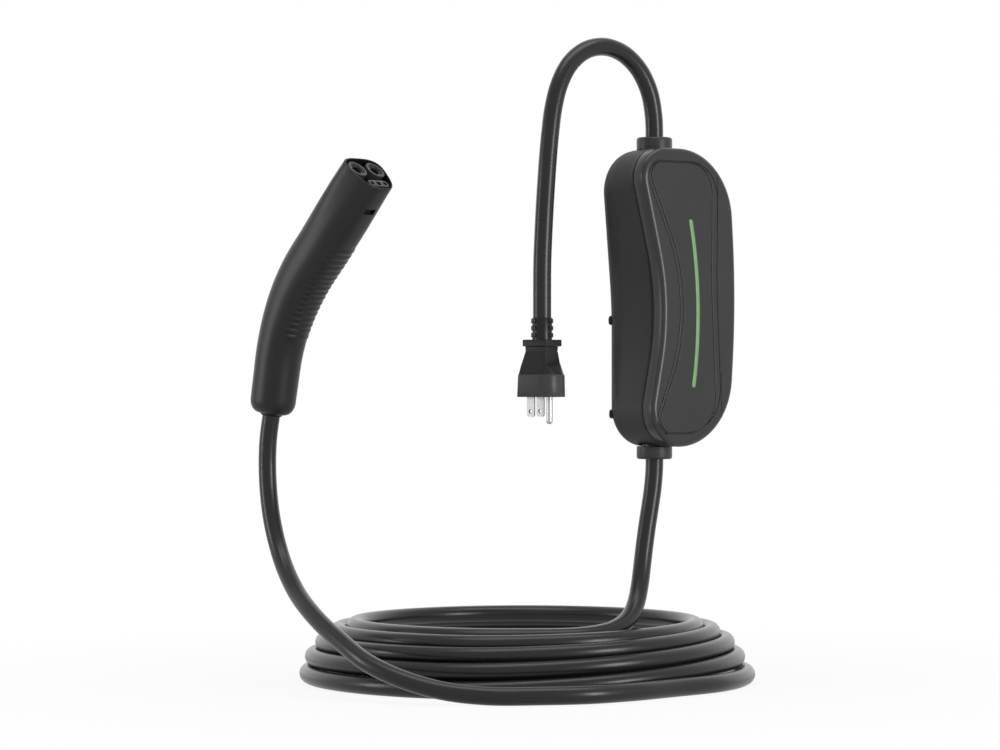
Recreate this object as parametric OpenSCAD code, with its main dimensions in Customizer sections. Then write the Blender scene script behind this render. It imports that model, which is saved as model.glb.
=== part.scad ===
// Portable EV charger: control box, mains plug, coiled charge cable and charging handle.
// Origin at the middle of the coil on the floor, +Z up, the box's front towards -Y.

/* [Cable] */
// Outer diameter of the supply cable and of the charge cable
cable_d = 13.5; // [11:0.1:14.5]
// Gap between a cable and the bore that it passes through
cable_gap = 0.3; // [0.1:0.05:0.6]

/* [Coil] */
// Centre-line radius of the coil's lowest turn
coil_r = 166.5; // [150:0.5:180]
// Number of turns
coil_turns = 5; // [3:1:6]
// Slope of the stacked turns from the floor, in degrees
coil_slope = 44; // [40:1:60]
// How far the lowest turn is pressed flat on the floor
coil_press = 0.2; // [0.1:0.05:0.4]

/* [Box outline] */
// Height of the control box
box_h = 224; // [210:1:245]
// Left corner of the upper lobe, from the cable axis
lobe_top = 45; // [40:0.5:50]
// Left corner of the lower lobe
lobe_low = 35.5; // [31:0.5:40]
// Corner of the waist at the parting line
waist_front = 13; // [10:0.5:22]
// Corner of the waist at the back
waist_back = 30; // [24:0.5:34]
// Height of the waist, from mid-height
waist_z = -6; // [-20:1:10]
// Right corners, top and bottom
right_end = 51; // [47:0.5:56]
// Crown of the right side
right_mid = 59; // [56:0.5:64]
// Radius of the right corners
right_r = 54; // [46:1:58]

/* [Box depth] */
// Depth of the rear housing, back face to parting line
rear_depth = 38; // [35:0.5:44]
// Depth of the front cover, parting line to front face
cover_depth = 12; // [10.5:0.5:16]
// Distance of the cable axis behind the parting line
axis_back = 18; // [16:0.5:20]
// Wall of the housing
wall = 2.5; // [2:0.1:3]
// Front wall of the cover, under the panel
cover_front = 3.5; // [3:0.1:4.5]
// Rounding of the rear edge
rear_round = 8; // [5:0.5:10]
// Radius of a rear foot
foot_r = 3.5; // [3:0.1:4]
// Height of a rear foot
foot_h = 2.2; // [1.5:0.1:3]
// Rounding of the cover's front edge
cover_round = 3; // [2:0.5:6]
// Rounding of the housing's edge at the parting line
rim_round = 1.5; // [0.8:0.1:1.8]
// Thickness of the parting seal
seal_t = 1.2; // [0.8:0.1:2]
// Depth of the shadow line at the parting seal
seal_inset = 1.7; // [1:0.1:2]

/* [Front panel] */
// Margin from the box's ends to the panel
panel_margin = 11; // [9:0.5:14]
// Thickness of the panel and its frame
panel_t = 1.5; // [1:0.1:2]
// Seam around the panel and its frame
seam = 0.4; // [0.2:0.05:0.6]
// Width of the light guide
light_w = 3.8; // [2:0.1:5]
// Length of the light guide
light_l = 124; // [100:1:140]
// Radius of the light guide's curve
light_r = 330; // [280:5:400]

/* [Cable glands] */
// Diameter of a gland
gland_d = 27; // [25:0.5:28]
// Height of a gland outside the box
gland_h = 9.5; // [7:0.5:13]
// Diameter of the gland's neck through the wall
neck_d = 19; // [17.5:0.5:20.5]
// Thickness of the gland's locknut
locknut_t = 4; // [3:0.5:6]

/* [Electronics] */
// Width of the main board
board_w = 58; // [54:1:60]
// Height of the main board
board_h = 160; // [150:1:166]
// Thickness of the boards
board_t = 1.6; // [1:0.1:2]
// Height of the pillars under the main board
pillar_h = 8; // [6:0.5:10]
// Diameter of the cover screws
screw_d = 3; // [2.5:0.1:3.5]

/* [Handle] */
// Length of the handle's straight tail
tail_l = 37; // [32:1:45]
// Radius of the handle's bend
bend_r = 158; // [150:1:190]
// Angle of the bend
bend_a = 32; // [28:1:34]
// Length of the straight head
head_l = 85; // [82:1:100]
// Wall of the handle
shell_t = 2.2; // [1.8:0.1:2.4]
// Wall of the nose around the contacts
nose_t = 1.6; // [1.2:0.1:1.6]
// Lip of the nose at the face
lip_t = 1.2; // [0.8:0.1:1.2]
// Half width of the handle at the face
face_w = 18.6; // [18.4:0.1:20]
// Half height of the handle at the face
face_h = 18; // [17.8:0.1:19.5]
// Number of grip ribs
rib_count = 17; // [12:1:18]
// Pitch of the grip ribs
rib_pitch = 5.3; // [4:0.1:5.4]
// Height of the grip ribs
rib_h = 0.7; // [0.5:0.1:1.2]
// Width of the latch slot
latch_w = 11; // [9:0.5:13]
// Length of the latch slot along the handle
latch_l = 4.6; // [4:0.1:6]
// Distance of the latch slot from the face
latch_back = 22; // [20:0.5:25]

/* [Charging face] */
// Diameter of a power tower
tower_d = 16.2; // [15:0.1:16.4]
// Spacing of the power towers
tower_gap = 19.4; // [18.6:0.1:19.6]
// Height of the power towers above the handle's axis
tower_up = 5.6; // [5:0.1:6]
// Bore of a power contact
power_bore = 7.8; // [6:0.1:9]
// Wall of a power contact
contact_t = 1; // [0.8:0.1:1.4]
// Length of the towers
tower_l = 20; // [17:0.5:22]
// How far the towers stand behind the face
tower_back = 1.5; // [0.5:0.1:3]
// Width of the signal island
island_w = 21; // [20:0.1:22]
// Height of the signal island
island_h = 7.4; // [6:0.1:8]
// Depth of the island below the handle's axis
island_down = 10.8; // [10:0.1:11]
// Bore of the earth contact
earth_bore = 3.2; // [2.8:0.1:3.6]
// Bore of the two signal contacts
signal_bore = 2.4; // [2:0.1:2.8]
// Spacing of the signal contacts from the earth contact
signal_gap = 6.9; // [6.2:0.1:7.2]

/* [Release button] */
// Length of the button along the handle
button_l = 16; // [12:0.5:20]
// Width of the button
button_w = 10; // [8:0.5:12]
// Gap around the button
button_gap = 0.3; // [0.2:0.05:0.5]
// Travel of the button
button_travel = 1.5; // [1:0.1:2]
// Distance of the button's middle from the face
button_back = 52; // [48:1:60]

/* [Mains plug] */
// Spacing of the blades
blade_gap = 12.7; // [12:0.1:13]
// Width of a blade
blade_w = 6.35; // [6:0.05:6.6]
// Thickness of a blade
blade_t = 1.5; // [1.3:0.05:1.7]
// Length of a blade
blade_l = 14.6; // [14:0.1:18]
// Diameter of the hole in a blade
blade_hole = 2.8; // [2.4:0.02:4.2]
// Diameter of the earth pin
pin_d = 4.76; // [4.6:0.02:4.9]
// Length of the earth pin
pin_l = 20; // [19:0.1:22]
// Distance of the earth pin from the line of the blades
pin_off = 11.9; // [11.5:0.1:12.2]
// Height of the plug's moulded body
plug_h = 42.2; // [40:0.1:48]
// Height of the plug's lower block
plug_block = 16.5; // [14:0.5:18]
// Number of rings on the plug's strain relief
relief_rings = 3; // [2:1:4]
// Pitch of the strain relief's rings
relief_pitch = 5.2; // [5:0.1:7]

/* [Hidden] */
$fn = 48;
// small overlap that lets a cut break through a face
cut = 1;
arc_steps = 7;

// Where the pieces stand
box_at = [46, -97, 293];
plug_at = [-66, -97, 218.8];
plug_turn = -74;
handle_at = [-172.6, 93.5, 206];
handle_turn = 10;
handle_tilt = 10;

// Routes of the cords, points chosen by hand
supply_route = [[46, -97, 392], [46, -97, 422], [43, -97, 444], [31, -97, 464], [13, -97, 477],
                [-8, -97, 480], [-27, -97, 475], [-42, -97, 462], [-52, -97, 443], [-57, -97, 420],
                [-61, -97, 388], [-64, -97, 350], [-66, -97, 310], [-66, -97, 259]];
riser_route = [[46, -97, 194], [46, -97, 164], [41, -97, 138], [36, -98, 115], [32, -99, 95],
               [26, -102, 76], [15, -109, 60], [2, -116, 52], [-13, -123, 48], [-27, -126, 45],
               [-43, -122.5, 43]];
lead_route = [[-171.8, 88.7, 233.6], [-172.6, 93.5, 206], [-173.2, 96.9, 186.3], [-173, 98, 159],
              [-174, 92, 129], [-177, 77, 101], [-185, 48, 76], [-194, 12, 58], [-199, -26, 42], [-199, -62, 27],
              [-190, -91, 17], [-174, -117, 10], [-151, -139, 6.8], [-123, -161, 6.8], [-92, -176, 6.8],
              [-52, -180, 6.8], [-9, -175, 6.8], [47, -167.5, 6.8]];

// Derived sizes
cable_r = cable_d / 2;
y_part = -axis_back;
y_rear = y_part + rear_depth;
y_front = y_part - cover_depth;
half_h = box_h / 2;
panel_z = half_h - panel_margin;
seat_r = gland_d / 2;
seat_t = wall + 3;
bore_r = cable_r + cable_gap;
bend_l = bend_r * bend_a * PI / 180;
handle_l = tail_l + bend_l + head_l;

// Corners of an outline as [x, z, radius], counterclockwise seen from the front
rear_corners = [[right_end, -half_h, right_r], [right_mid, 0, 700], [right_end, half_h, right_r],
                [4 - lobe_top, half_h, 32], [-waist_back, waist_z, 400], [5.5 - lobe_low, -half_h, 30]];
front_corners = [[right_end, -half_h, right_r], [right_mid, 0, 700], [right_end, half_h, right_r],
                 [-lobe_top, half_h, 23], [-waist_front, waist_z, 175], [-lobe_low, -half_h, 29]];
panel_corners = [[right_end - 14.5, -panel_z, 26], [right_mid - 28, 10, 600], [right_end - 19, panel_z, 22],
                 [9 - lobe_top, panel_z, 10], [28.7 - waist_front, waist_z + 1, 130],
                 [9.5 - lobe_low, -panel_z, 10]];
frame_corners = [[right_end - 9, -panel_z - 1, 34], [right_mid - 22.6, 10, 600],
                 [right_end - 13.5, panel_z + 1, 27], [5.4 - lobe_top, panel_z + 1, 12],
                 [25.2 - waist_front, waist_z + 1, 130], [6 - lobe_low, -panel_z - 1, 12]];
screw_at = [[-20, half_h - 21], [27, half_h - 24], [48, 0], [26, 25 - half_h], [-17, 21 - half_h]];
seam_at = [[right_end - 13.6, half_h - box_h / 8], [right_end - 9.6, box_h / 8 - half_h]];
foot_at = [-0.78 * half_h, -0.15 * half_h];
foot_seat = 0.8;
light_x = right_mid * 0.29;
light_z = waist_z + 2;
board_mid = 12;
pillar_at = [for (x = [-1, 1], z = [-1, 1]) [board_mid + x * (board_w / 2 - 5), z * (board_h / 2 - 5)]];
board_back = y_rear - wall - pillar_h;
board_front = board_back - board_t;

function unit(v) = v / norm(v);

// Points of a polygon with rounded corners, moved inwards by inset
function outline(corners, inset = 0) =
    let (n = len(corners))
    [for (i = [0:n - 1])
        let (a = [corners[(i + n - 1) % n].x, corners[(i + n - 1) % n].y],
             b = [corners[i].x, corners[i].y],
             c = [corners[(i + 1) % n].x, corners[(i + 1) % n].y],
             r = corners[i].z,
             u = unit(a - b), v = unit(c - b),
             half = acos(u * v) / 2,
             turn = sign((b - a).x * (c - b).y - (b - a).y * (c - b).x),
             centre = b + unit(u + v) * r / sin(half),
             first = atan2(u.x, -u.y),
             sweep = turn * (180 - 2 * half))
        for (k = [0:arc_steps])
            let (angle = first + sweep * k / arc_steps)
            centre + turn * (r - turn * inset) * [cos(angle), sin(angle)]];

// An outline stood up in the plane at depth y
function ring(corners, inset, y) = [for (p = outline(corners, inset)) [p.x, y, p.y]];

// Corners part of the way from the back to the parting line
function side_corners(y) =
    let (t = (y_rear - y) / (y_rear - y_part)) rear_corners * (1 - t) + front_corners * t;

function middle(points) = [for (p = points) 1] * points / len(points);

// Closed skin over a list of rings, with a fan over each end
module skin(rings) {
    n = len(rings[0]);
    m = len(rings);
    points = concat([for (r = rings) each r], [middle(rings[0]), middle(rings[m - 1])]);
    sides = [for (i = [0:m - 2], j = [0:n - 1], half = [0, 1])
        half == 0 ? [i * n + j, (i + 1) * n + j, (i + 1) * n + (j + 1) % n]
                  : [i * n + j, (i + 1) * n + (j + 1) % n, i * n + (j + 1) % n]];
    ends = [for (j = [0:n - 1], end = [0, 1])
        end == 0 ? [m * n, j, (j + 1) % n]
                 : [m * n + 1, (m - 1) * n + (j + 1) % n, (m - 1) * n + j]];
    polyhedron(points, concat(sides, ends), convexity = 8);
}

// Skin that closes on itself, for a sleeve that is open at both ends
module sleeve(rings) {
    n = len(rings[0]);
    m = len(rings);
    faces = [for (i = [0:m - 1], j = [0:n - 1], half = [0, 1])
        let (i2 = (i + 1) % m, j2 = (j + 1) % n)
        half == 0 ? [i * n + j, i2 * n + j, i2 * n + j2] : [i * n + j, i2 * n + j2, i * n + j2]];
    polyhedron([for (r = rings) each r], faces, convexity = 8);
}

// Round tube along a route, with rings squared to it; side never lies along the route
module tube(route, d, side) {
    m = len(route);
    sides = 10;
    skin([for (i = [0:m - 1])
        let (t = unit(route[min(i + 1, m - 1)] - route[max(i - 1, 0)]),
             across = unit(cross(side, t)),
             over = cross(t, across))
        [for (k = [0:sides - 1])
            route[i] + d / 2 * (cos(360 * k / sides) * across + sin(360 * k / sides) * over)]]);
}

module in_box() { translate(box_at) children(); }

// Plate in the plane of the front, its front face at depth y
module plate(y, t) { translate([0, y + t, 0]) rotate([90, 0, 0]) linear_extrude(t) children(); }

// Rod along the depth, from y1 back to y2
module rod(x, z, y1, y2, d) { translate([x, y2, z]) rotate([90, 0, 0]) cylinder(h = y2 - y1, d = d); }

// Curved bar with round ends, its middle at the origin
module arc_bar(r, w, l) {
    half = l / 2 / r * 180 / PI;
    steps = 16;
    translate([-r, 0]) polygon(concat(
        [for (k = [0:steps]) let (a = -half + 2 * half * k / steps) (r + w / 2) * [cos(a), sin(a)]],
        [for (k = [1:5]) r * [cos(half), sin(half)] + w / 2 * [cos(half + 30 * k), sin(half + 30 * k)]],
        [for (k = [0:steps]) let (a = half - 2 * half * k / steps) (r - w / 2) * [cos(a), sin(a)]],
        [for (k = [1:5]) let (a = 180 - half + 30 * k)
            r * [cos(half), -sin(half)] + w / 2 * [cos(a), sin(a)]]));
}

module light_shape(grow = 0) {
    translate([light_x, light_z]) rotate(1.4)
        arc_bar(light_r, light_w + 2 * grow, light_l + 2 * grow);
}

// Place on the rounded rear left edge at height z, facing outwards
module at_foot(z) {
    x = lookup(z, [for (p = outline(rear_corners)) if (p.x < 0) [p.y, p.x]]);
    translate([x + rear_round * (1 - sin(45)), y_rear - rear_round * (1 - cos(45)), z])
        rotate([0, 0, 135]) rotate([0, 90, 0]) children();
}

// Rear housing: lofted shell whose waist deepens towards the parting line
module rear_housing() color([0.2, 0.2, 0.2]) in_box() difference() {
    rim = y_part + seal_t / 2;
    union() {
        skin(concat(
            [for (k = [0:4]) let (a = 90 * k / 4)
                ring(side_corners(y_rear), rear_round * (1 - sin(a)), y_rear - rear_round * (1 - cos(a)))],
            [for (k = [1:3]) let (y = y_rear - rear_round + (rim + rim_round - y_rear + rear_round) * k / 3)
                ring(side_corners(y), 0, y)],
            [for (k = [1:3]) let (a = 30 * k)
                ring(front_corners, rim_round * (1 - cos(a)), rim + rim_round * (1 - sin(a)))],
            [ring(front_corners, wall, rim),
             ring(side_corners(0), wall, 0),
             ring(rear_corners, wall, y_rear - rear_round),
             ring(rear_corners, rear_round * 0.6 + 1, y_rear - wall)]));
        // flat seats for the glands and pillars for the board and the cover
        for (side = [-1, 1]) translate([0, 0, side * (half_h - seat_t / 2)])
            cylinder(h = seat_t, r = seat_r, center = true);
        for (p = pillar_at) rod(p.x, p.y, board_back, y_rear - wall / 2, 7);
        for (p = screw_at) rod(p.x, p.y, rim, y_rear - wall / 2, screw_d + 4.4);
    }
    for (side = [-1, 1]) translate([0, 0, side * half_h])
        cylinder(h = 3 * seat_t, d = neck_d + 2 * cable_gap, center = true);
    for (z = foot_at) at_foot(z) translate([0, 0, -foot_seat]) cylinder(h = 2 * foot_h, r = foot_r + 0.2);
    for (p = pillar_at) rod(p.x, p.y, board_back - cut, board_back + 5, 2.2);
    for (p = screw_at) {
        rod(p.x, p.y, rim - cut, y_rear + cut, screw_d + 0.4);
        rod(p.x, p.y, y_rear - 3, y_rear + cut, 2 * screw_d + 0.4);
    }
}

// Front cover: shallow tray with a rounded front edge and a recess for the panel
module front_cover() color([0.26, 0.26, 0.26]) in_box() difference() {
    rim = y_part - seal_t / 2;
    union() {
        skin(concat(
            [ring(front_corners, wall + 1, y_front + cover_front),
             ring(front_corners, wall, y_front + cover_front + 1),
             ring(front_corners, wall, rim),
             ring(front_corners, rim_round / 2, rim),
             ring(front_corners, 0, rim - rim_round / 2)],
            [for (k = [0:5]) let (a = 90 * k / 5)
                ring(front_corners, cover_round * (1 - cos(a)), y_front + cover_round * (1 - sin(a)))]));
        for (p = screw_at) rod(p.x, p.y, y_front + cover_front / 2 + panel_t / 2, rim, screw_d + 4.4);
    }
    plate(y_front - cut, panel_t + cut) polygon(outline(frame_corners, -seam));
    plate(y_front - cut, cover_front + 2 * cut) light_shape(seam / 2);
    // fine seam that runs on from the frame to the cover's ends
    for (end = seam_at) plate(y_front - cut, panel_t / 2 + cut)
        translate(end) square([seam, box_h / 4], center = true);
    for (p = screw_at) rod(p.x, p.y, y_front + cover_front, rim + cut, screw_d - 0.5);
}

module cover_seal() color([0.05, 0.05, 0.05]) in_box() plate(y_part - seal_t / 2, seal_t) difference() {
    polygon(outline(front_corners, seal_inset));
    polygon(outline(front_corners, wall));
}

module panel_frame() color([0.25, 0.25, 0.25]) in_box() plate(y_front, panel_t) difference() {
    polygon(outline(frame_corners));
    polygon(outline(panel_corners, -seam));
}

module front_panel() color([0.27, 0.27, 0.275]) in_box() plate(y_front, panel_t) difference() {
    polygon(outline(panel_corners));
    light_shape(seam / 2);
}

module light_guide() color([0.42, 0.69, 0.37]) in_box() plate(y_front, cover_front + 1.5) light_shape();

// Cable gland: flanged collar outside, neck through the wall, bore for the cable
module gland() {
    foot = -seat_t - locknut_t - 1;
    rotate_extrude() polygon([[bore_r, foot], [neck_d / 2, foot], [neck_d / 2, 0],
        [gland_d / 2, 0], [gland_d / 2, gland_h - 1.5], [gland_d / 2 - 0.5, gland_h - 0.5],
        [gland_d / 2 - 1.5, gland_h], [bore_r + 0.8, gland_h], [bore_r, gland_h - 0.8]]);
}

module locknut() difference() {
    translate([0, 0, -seat_t - locknut_t]) rotate(30) cylinder(h = locknut_t, d = neck_d + 6, $fn = 6);
    cylinder(h = 4 * (seat_t + locknut_t), d = neck_d, center = true);
}

module at_top() { in_box() translate([0, 0, half_h]) children(); }
module at_bottom() { in_box() translate([0, 0, -half_h]) rotate([180, 0, 0]) children(); }
module top_gland() color([0.23, 0.23, 0.23]) at_top() gland();
module bottom_gland() color([0.22, 0.22, 0.22]) at_bottom() gland();
module top_locknut() color([0.15, 0.15, 0.15]) at_top() locknut();
module bottom_locknut() color([0.15, 0.15, 0.15]) at_bottom() locknut();

// Two small rubber bumpers on the rear left edge and two on the right
module rear_feet() color([0.07, 0.07, 0.07]) in_box() for (z = foot_at) at_foot(z)
    rotate_extrude() polygon([[0, -foot_seat], [foot_r, -foot_seat], [foot_r, 0.4 * foot_h],
                              [0.8 * foot_r, 0.85 * foot_h], [0.5 * foot_r, foot_h], [0, foot_h]]);

module cover_screws() color([0.6, 0.6, 0.6]) in_box() for (p = screw_at) {
    rod(p.x, p.y, y_part - cover_depth / 2, y_rear - 3, screw_d - 0.5);
    rod(p.x, p.y, y_rear - 3, y_rear - 0.6, 2 * screw_d);
}

module main_board() color([0.05, 0.3, 0.15]) in_box() plate(board_front, board_t) difference() {
    translate([board_mid - board_w / 2, -board_h / 2]) square([board_w, board_h]);
    for (p = pillar_at) translate(p) circle(d = 2.8);
}

module board_screws() color([0.6, 0.6, 0.6]) in_box() for (p = pillar_at) {
    rod(p.x, p.y, board_front, board_back + 5, 2.2);
    rod(p.x, p.y, board_front - 1.6, board_front, 4.6);
}

// Box on the board's front, with its middle at x, z
module on_board(x, z, w, h, t) { in_box() translate([x - w / 2, board_front - t, z - h / 2]) cube([w, t, h]); }

module relays() color([0.1, 0.12, 0.16]) for (x = [2, 26]) on_board(x, -14, 18, 28, 15);

module leakage_sensor() color([0.12, 0.12, 0.12]) in_box()
    translate([0, board_front, 24]) rotate([90, 0, 0]) difference() {
        cylinder(h = 12, d = 26);
        translate([0, 0, -cut]) cylinder(h = 12 + 2 * cut, d = 14);
    }

module power_supply() color([0.1, 0.1, 0.1]) on_board(29, 32, 18, 34, 16);
module capacitors() color([0.15, 0.18, 0.3]) in_box()
    for (x = [0, 15, 30]) rod(x, -42, board_front - 14, board_front, 12);
module input_terminal() color([0.15, 0.35, 0.2]) on_board(0, board_h / 2 - 18, 26, 14, 17);
module output_terminal() color([0.15, 0.35, 0.2]) on_board(0, 18 - board_h / 2, 26, 14, 17);

// Three wires from the cable's end to the terminal's wire entries
module conductors(top) {
    from = board_h / 2 - 11;
    for (x = [-4, 0, 4]) translate([x, 0, from]) cylinder(h = top - from, d = 3.2);
}
module input_conductors() color([0.6, 0.2, 0.1]) in_box() conductors(supply_route[0].z - box_at.z);
module output_conductors() color([0.6, 0.2, 0.1]) in_box() rotate([180, 0, 0])
    conductors(box_at.z - riser_route[0].z);

// Board behind the light guide, on the back of the cover's front wall
module light_board() color([0.05, 0.3, 0.15]) in_box() plate(y_front + cover_front + 3.1, board_t)
    translate([light_x - light_w, light_z]) square([4 * light_w, light_l + 2 * light_w], center = true);
module lamps() color([0.95, 0.95, 0.85]) in_box() for (k = [-4:4])
    let (z = k * light_l / 10, x = light_r * (cos(asin(z / light_r)) - 1))
    translate([light_x + x - z * sin(1.4), y_front + cover_front + 1.5, light_z + z])
        translate([-1.2, 0, -1.6]) cube([2.4, 1.6, 3.2]);

// Handle: its own frame has the tail at the origin, Z up and the bend towards -Y
module in_handle() { translate(handle_at) rotate([0, 0, handle_turn]) children(); }

// Lean of the handle's axis at length s, and its place
function lean(s) = handle_tilt + bend_a * min(max((s - tail_l) / bend_l, 0), 1);
function axis_dir(s) = [0, -sin(lean(s)), cos(lean(s))];
function back_dir(s) = [0, cos(lean(s)), sin(lean(s))];
function axis_at(s) =
    min(s, tail_l) * axis_dir(0)
    + bend_r * [0, cos(lean(s)) - cos(handle_tilt), sin(lean(s)) - sin(handle_tilt)]
    + max(s - tail_l - bend_l, 0) * axis_dir(handle_l);

// Frame of the charging face: Z out of the face, Y towards the handle's back
module at_face() { in_handle() translate(axis_at(handle_l)) rotate([lean(handle_l), 0, 0]) children(); }

// Half width and half height of the handle at length s
function half_w(s) = lookup(s, [[0, face_w - 2.2], [60, face_w - 0.8], [115, face_w + 0.6],
                                [handle_l - 30, face_w + 0.6], [handle_l, face_w]]);
function half_t(s) = lookup(s, [[0, face_h - 1.2], [45, face_h - 1], [62, face_h - 0.4], [90, face_h + 0.8],
                                [125, face_h + 1.6], [handle_l - 45, face_h + 1.2],
                                [handle_l - 14, face_h + 0.2], [handle_l, face_h]]);

// Squareness of the section, and how much wider it is at the back than under the fingers
function square_share(s) = lookup(s, [[0, 2.2], [60, 2.2], [handle_l - 60, 2.5], [handle_l - 20, 3],
                                      [handle_l, 3]]);
function back_share(s) = lookup(s, [[0, 0], [handle_l - 70, 0], [handle_l - 15, 0.2], [handle_l, 0.22]]);

// Share of the grip ribs at an angle round the handle, full under the fingers
function grip(angle) = let (off = abs(angle - 270)) off < 44 ? 1 : max(0, 1 - (off - 44) / 26);

// Section of the handle at length s, pulled in by inset, with ribs of height rib
function section(s, inset = 0, rib = 0, sides = 36) =
    let (power = 2 / square_share(s))
    [for (k = [0:sides - 1])
        let (a = 360 * k / sides, out = rib * grip(a) - inset,
             y = (half_t(s) + out) * sign(sin(a)) * pow(abs(sin(a)), power),
             x = (half_w(s) + out) * sign(cos(a)) * pow(abs(cos(a)), power))
        [x * (1 + back_share(s) * y / half_t(s)), y]];
function handle_ring(s, inset = 0, rib = 0) =
    let (centre = axis_at(s), back = back_dir(s))
    [for (p = section(s, inset, rib)) centre + p.x * [1, 0, 0] + p.y * back];

rib_first = tail_l + 25;
tail_round = 10;
cavity_l = tower_l + tower_back + 8;

module handle_shell() color([0.18, 0.19, 0.19]) in_handle() difference() {
    tail_wall = 5;
    sleeve(concat(
        [for (k = [0:4]) let (a = 90 * k / 4)
            handle_ring(tail_round * (1 - cos(a)), tail_round * (1 - sin(a)) * 0.7)],
        [for (s = [24, tail_l, rib_first - 4]) handle_ring(s)],
        [for (k = [0:rib_count - 1], crest = [0, 1])
            handle_ring(rib_first + (k + crest * 0.6) * rib_pitch, 0, crest * rib_h)],
        [for (s = [rib_first + rib_count * rib_pitch, handle_l - 45, handle_l - 30, handle_l - 14,
                   handle_l - 1]) handle_ring(s)],
        [handle_ring(handle_l, lip_t / 2), handle_ring(handle_l, lip_t), handle_ring(handle_l - 3, lip_t),
         handle_ring(handle_l - 14, nose_t), handle_ring(handle_l - cavity_l, nose_t),
         handle_ring(handle_l - 45, shell_t + 1)],
        [for (k = [0:5]) handle_ring(rib_first + rib_count * rib_pitch - k * 15, shell_t + 0.4)],
        [handle_ring(22, shell_t), handle_ring(tail_wall + 4, shell_t),
         [for (k = [0:35]) let (a = 10 * k)
             axis_at(tail_wall) + (bore_r + 1) * (cos(a) * [1, 0, 0] + sin(a) * back_dir(0))],
         [for (k = [0:35]) let (a = 10 * k)
             axis_at(0) + (bore_r + 1) * (cos(a) * [1, 0, 0] + sin(a) * back_dir(0))]]));
    // latch slot under the face and opening for the release button on the back
    translate(axis_at(handle_l)) rotate([lean(handle_l), 0, 0]) {
        translate([-latch_w / 2, -face_h - 2, -latch_back - latch_l / 2]) cube([latch_w, shell_t + 4, latch_l]);
        translate([0, 0, -button_back]) rotate([-90, 0, 0]) linear_extrude(2 * face_h) button_shape(button_gap);
    }
}

module button_shape(grow = 0) {
    r = button_w / 2 - 1;
    offset_l = button_l / 2 - r - 1;
    hull() for (side = [-1, 1]) translate([0, side * offset_l]) circle(r = r + 1 + grow);
}

// Rubber ring that carries the cable in the tail
module tail_ring() color([0.08, 0.08, 0.08]) in_handle() rotate([handle_tilt, 0, 0]) difference() {
    translate([0, 0, -1.5]) cylinder(h = 7, r = bore_r + 0.9);
    translate([0, 0, -1.5 - cut]) cylinder(h = 7 + 2 * cut, r = bore_r);
}

// Plate across the nose, clear of its wall by carrier_gap
carrier_gap = 0.4;
module carrier_plate(t, inset) linear_extrude(t) polygon(section(handle_l - tower_back - tower_l, inset));

module island_shape() hull() for (side = [-1, 1])
    translate([side * (island_w - island_h) / 2, -island_down]) circle(d = island_h);

// Contact carrier: plate across the handle with two power towers and the signal island
module contact_carrier() color([0.1, 0.1, 0.1]) at_face() difference() {
    base = -tower_back - tower_l;
    union() {
        translate([0, 0, base - 6]) carrier_plate(6 + cut / 2, nose_t + carrier_gap);
        for (side = [-1, 1]) translate([side * tower_gap / 2, tower_up, base])
            cylinder(h = tower_l, d = tower_d);
        translate([0, 0, base]) linear_extrude(tower_l) island_shape();
    }
    for (side = [-1, 1]) translate([side * tower_gap / 2, tower_up, base - 6 - cut])
        cylinder(h = tower_l + 6 + 2 * cut, d = power_bore + 2 * contact_t);
    for (k = [-1:1]) translate([k * signal_gap, -island_down, base - 6 - cut])
        cylinder(h = tower_l + 6 + 2 * cut, d = (k == 0 ? earth_bore : signal_bore) + 1.2);
}

// Tubular contact: a bore in front and a closed tail
module contact(x, y, bore, t) at_face() translate([x, y, -tower_back - tower_l - 10]) difference() {
    cylinder(h = tower_l + 9.4, d = bore + 2 * t);
    translate([0, 0, 14]) cylinder(h = tower_l, d = bore);
}
module left_power_contact() color([0.75, 0.76, 0.78]) contact(-tower_gap / 2, tower_up, power_bore, contact_t);
module right_power_contact() color([0.75, 0.76, 0.78]) contact(tower_gap / 2, tower_up, power_bore, contact_t);
module earth_contact() color([0.75, 0.76, 0.78]) contact(0, -island_down, earth_bore, 0.6);
module pilot_contact() color([0.75, 0.76, 0.78]) contact(-signal_gap, -island_down, signal_bore, 0.6);
module proximity_contact() color([0.75, 0.76, 0.78]) contact(signal_gap, -island_down, signal_bore, 0.6);

// Sealing ring behind the carrier's plate
module carrier_ring() color([0.06, 0.06, 0.06]) at_face()
    translate([0, 0, -tower_back - tower_l - 8]) difference() {
        carrier_plate(2, nose_t + carrier_gap);
        translate([0, 0, -cut]) carrier_plate(2 + 2 * cut, nose_t + carrier_gap + 2);
    }

// Release button: capsule key with a wider skirt inside the shell
button_top = face_h + 2;
skirt_t = 1.5;
skirt_top = face_h - 2.8;
switch_h = 1.3;
switch_board_y = skirt_top - skirt_t - button_travel - 0.2 - switch_h;
switch_board_w = 2 * (face_w - 5.1);
module at_button(up) { at_face() translate([0, up, -button_back]) rotate([-90, 0, 0]) children(); }
module release_button() color([0.15, 0.15, 0.15]) {
    at_button(skirt_top - skirt_t) linear_extrude(button_top - skirt_top + skirt_t) button_shape();
    at_button(skirt_top - skirt_t) linear_extrude(skirt_t) button_shape(1.5);
}

// Sealed switch under the button, clear of it by the travel
module button_switch() color([0.3, 0.3, 0.3]) at_button(switch_board_y) cylinder(h = switch_h, r1 = 4, r2 = 2);
module switch_board() color([0.05, 0.3, 0.15]) at_face()
    translate([-switch_board_w / 2, switch_board_y - board_t, -button_back - 15])
        cube([switch_board_w, board_t, 30]);

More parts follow.
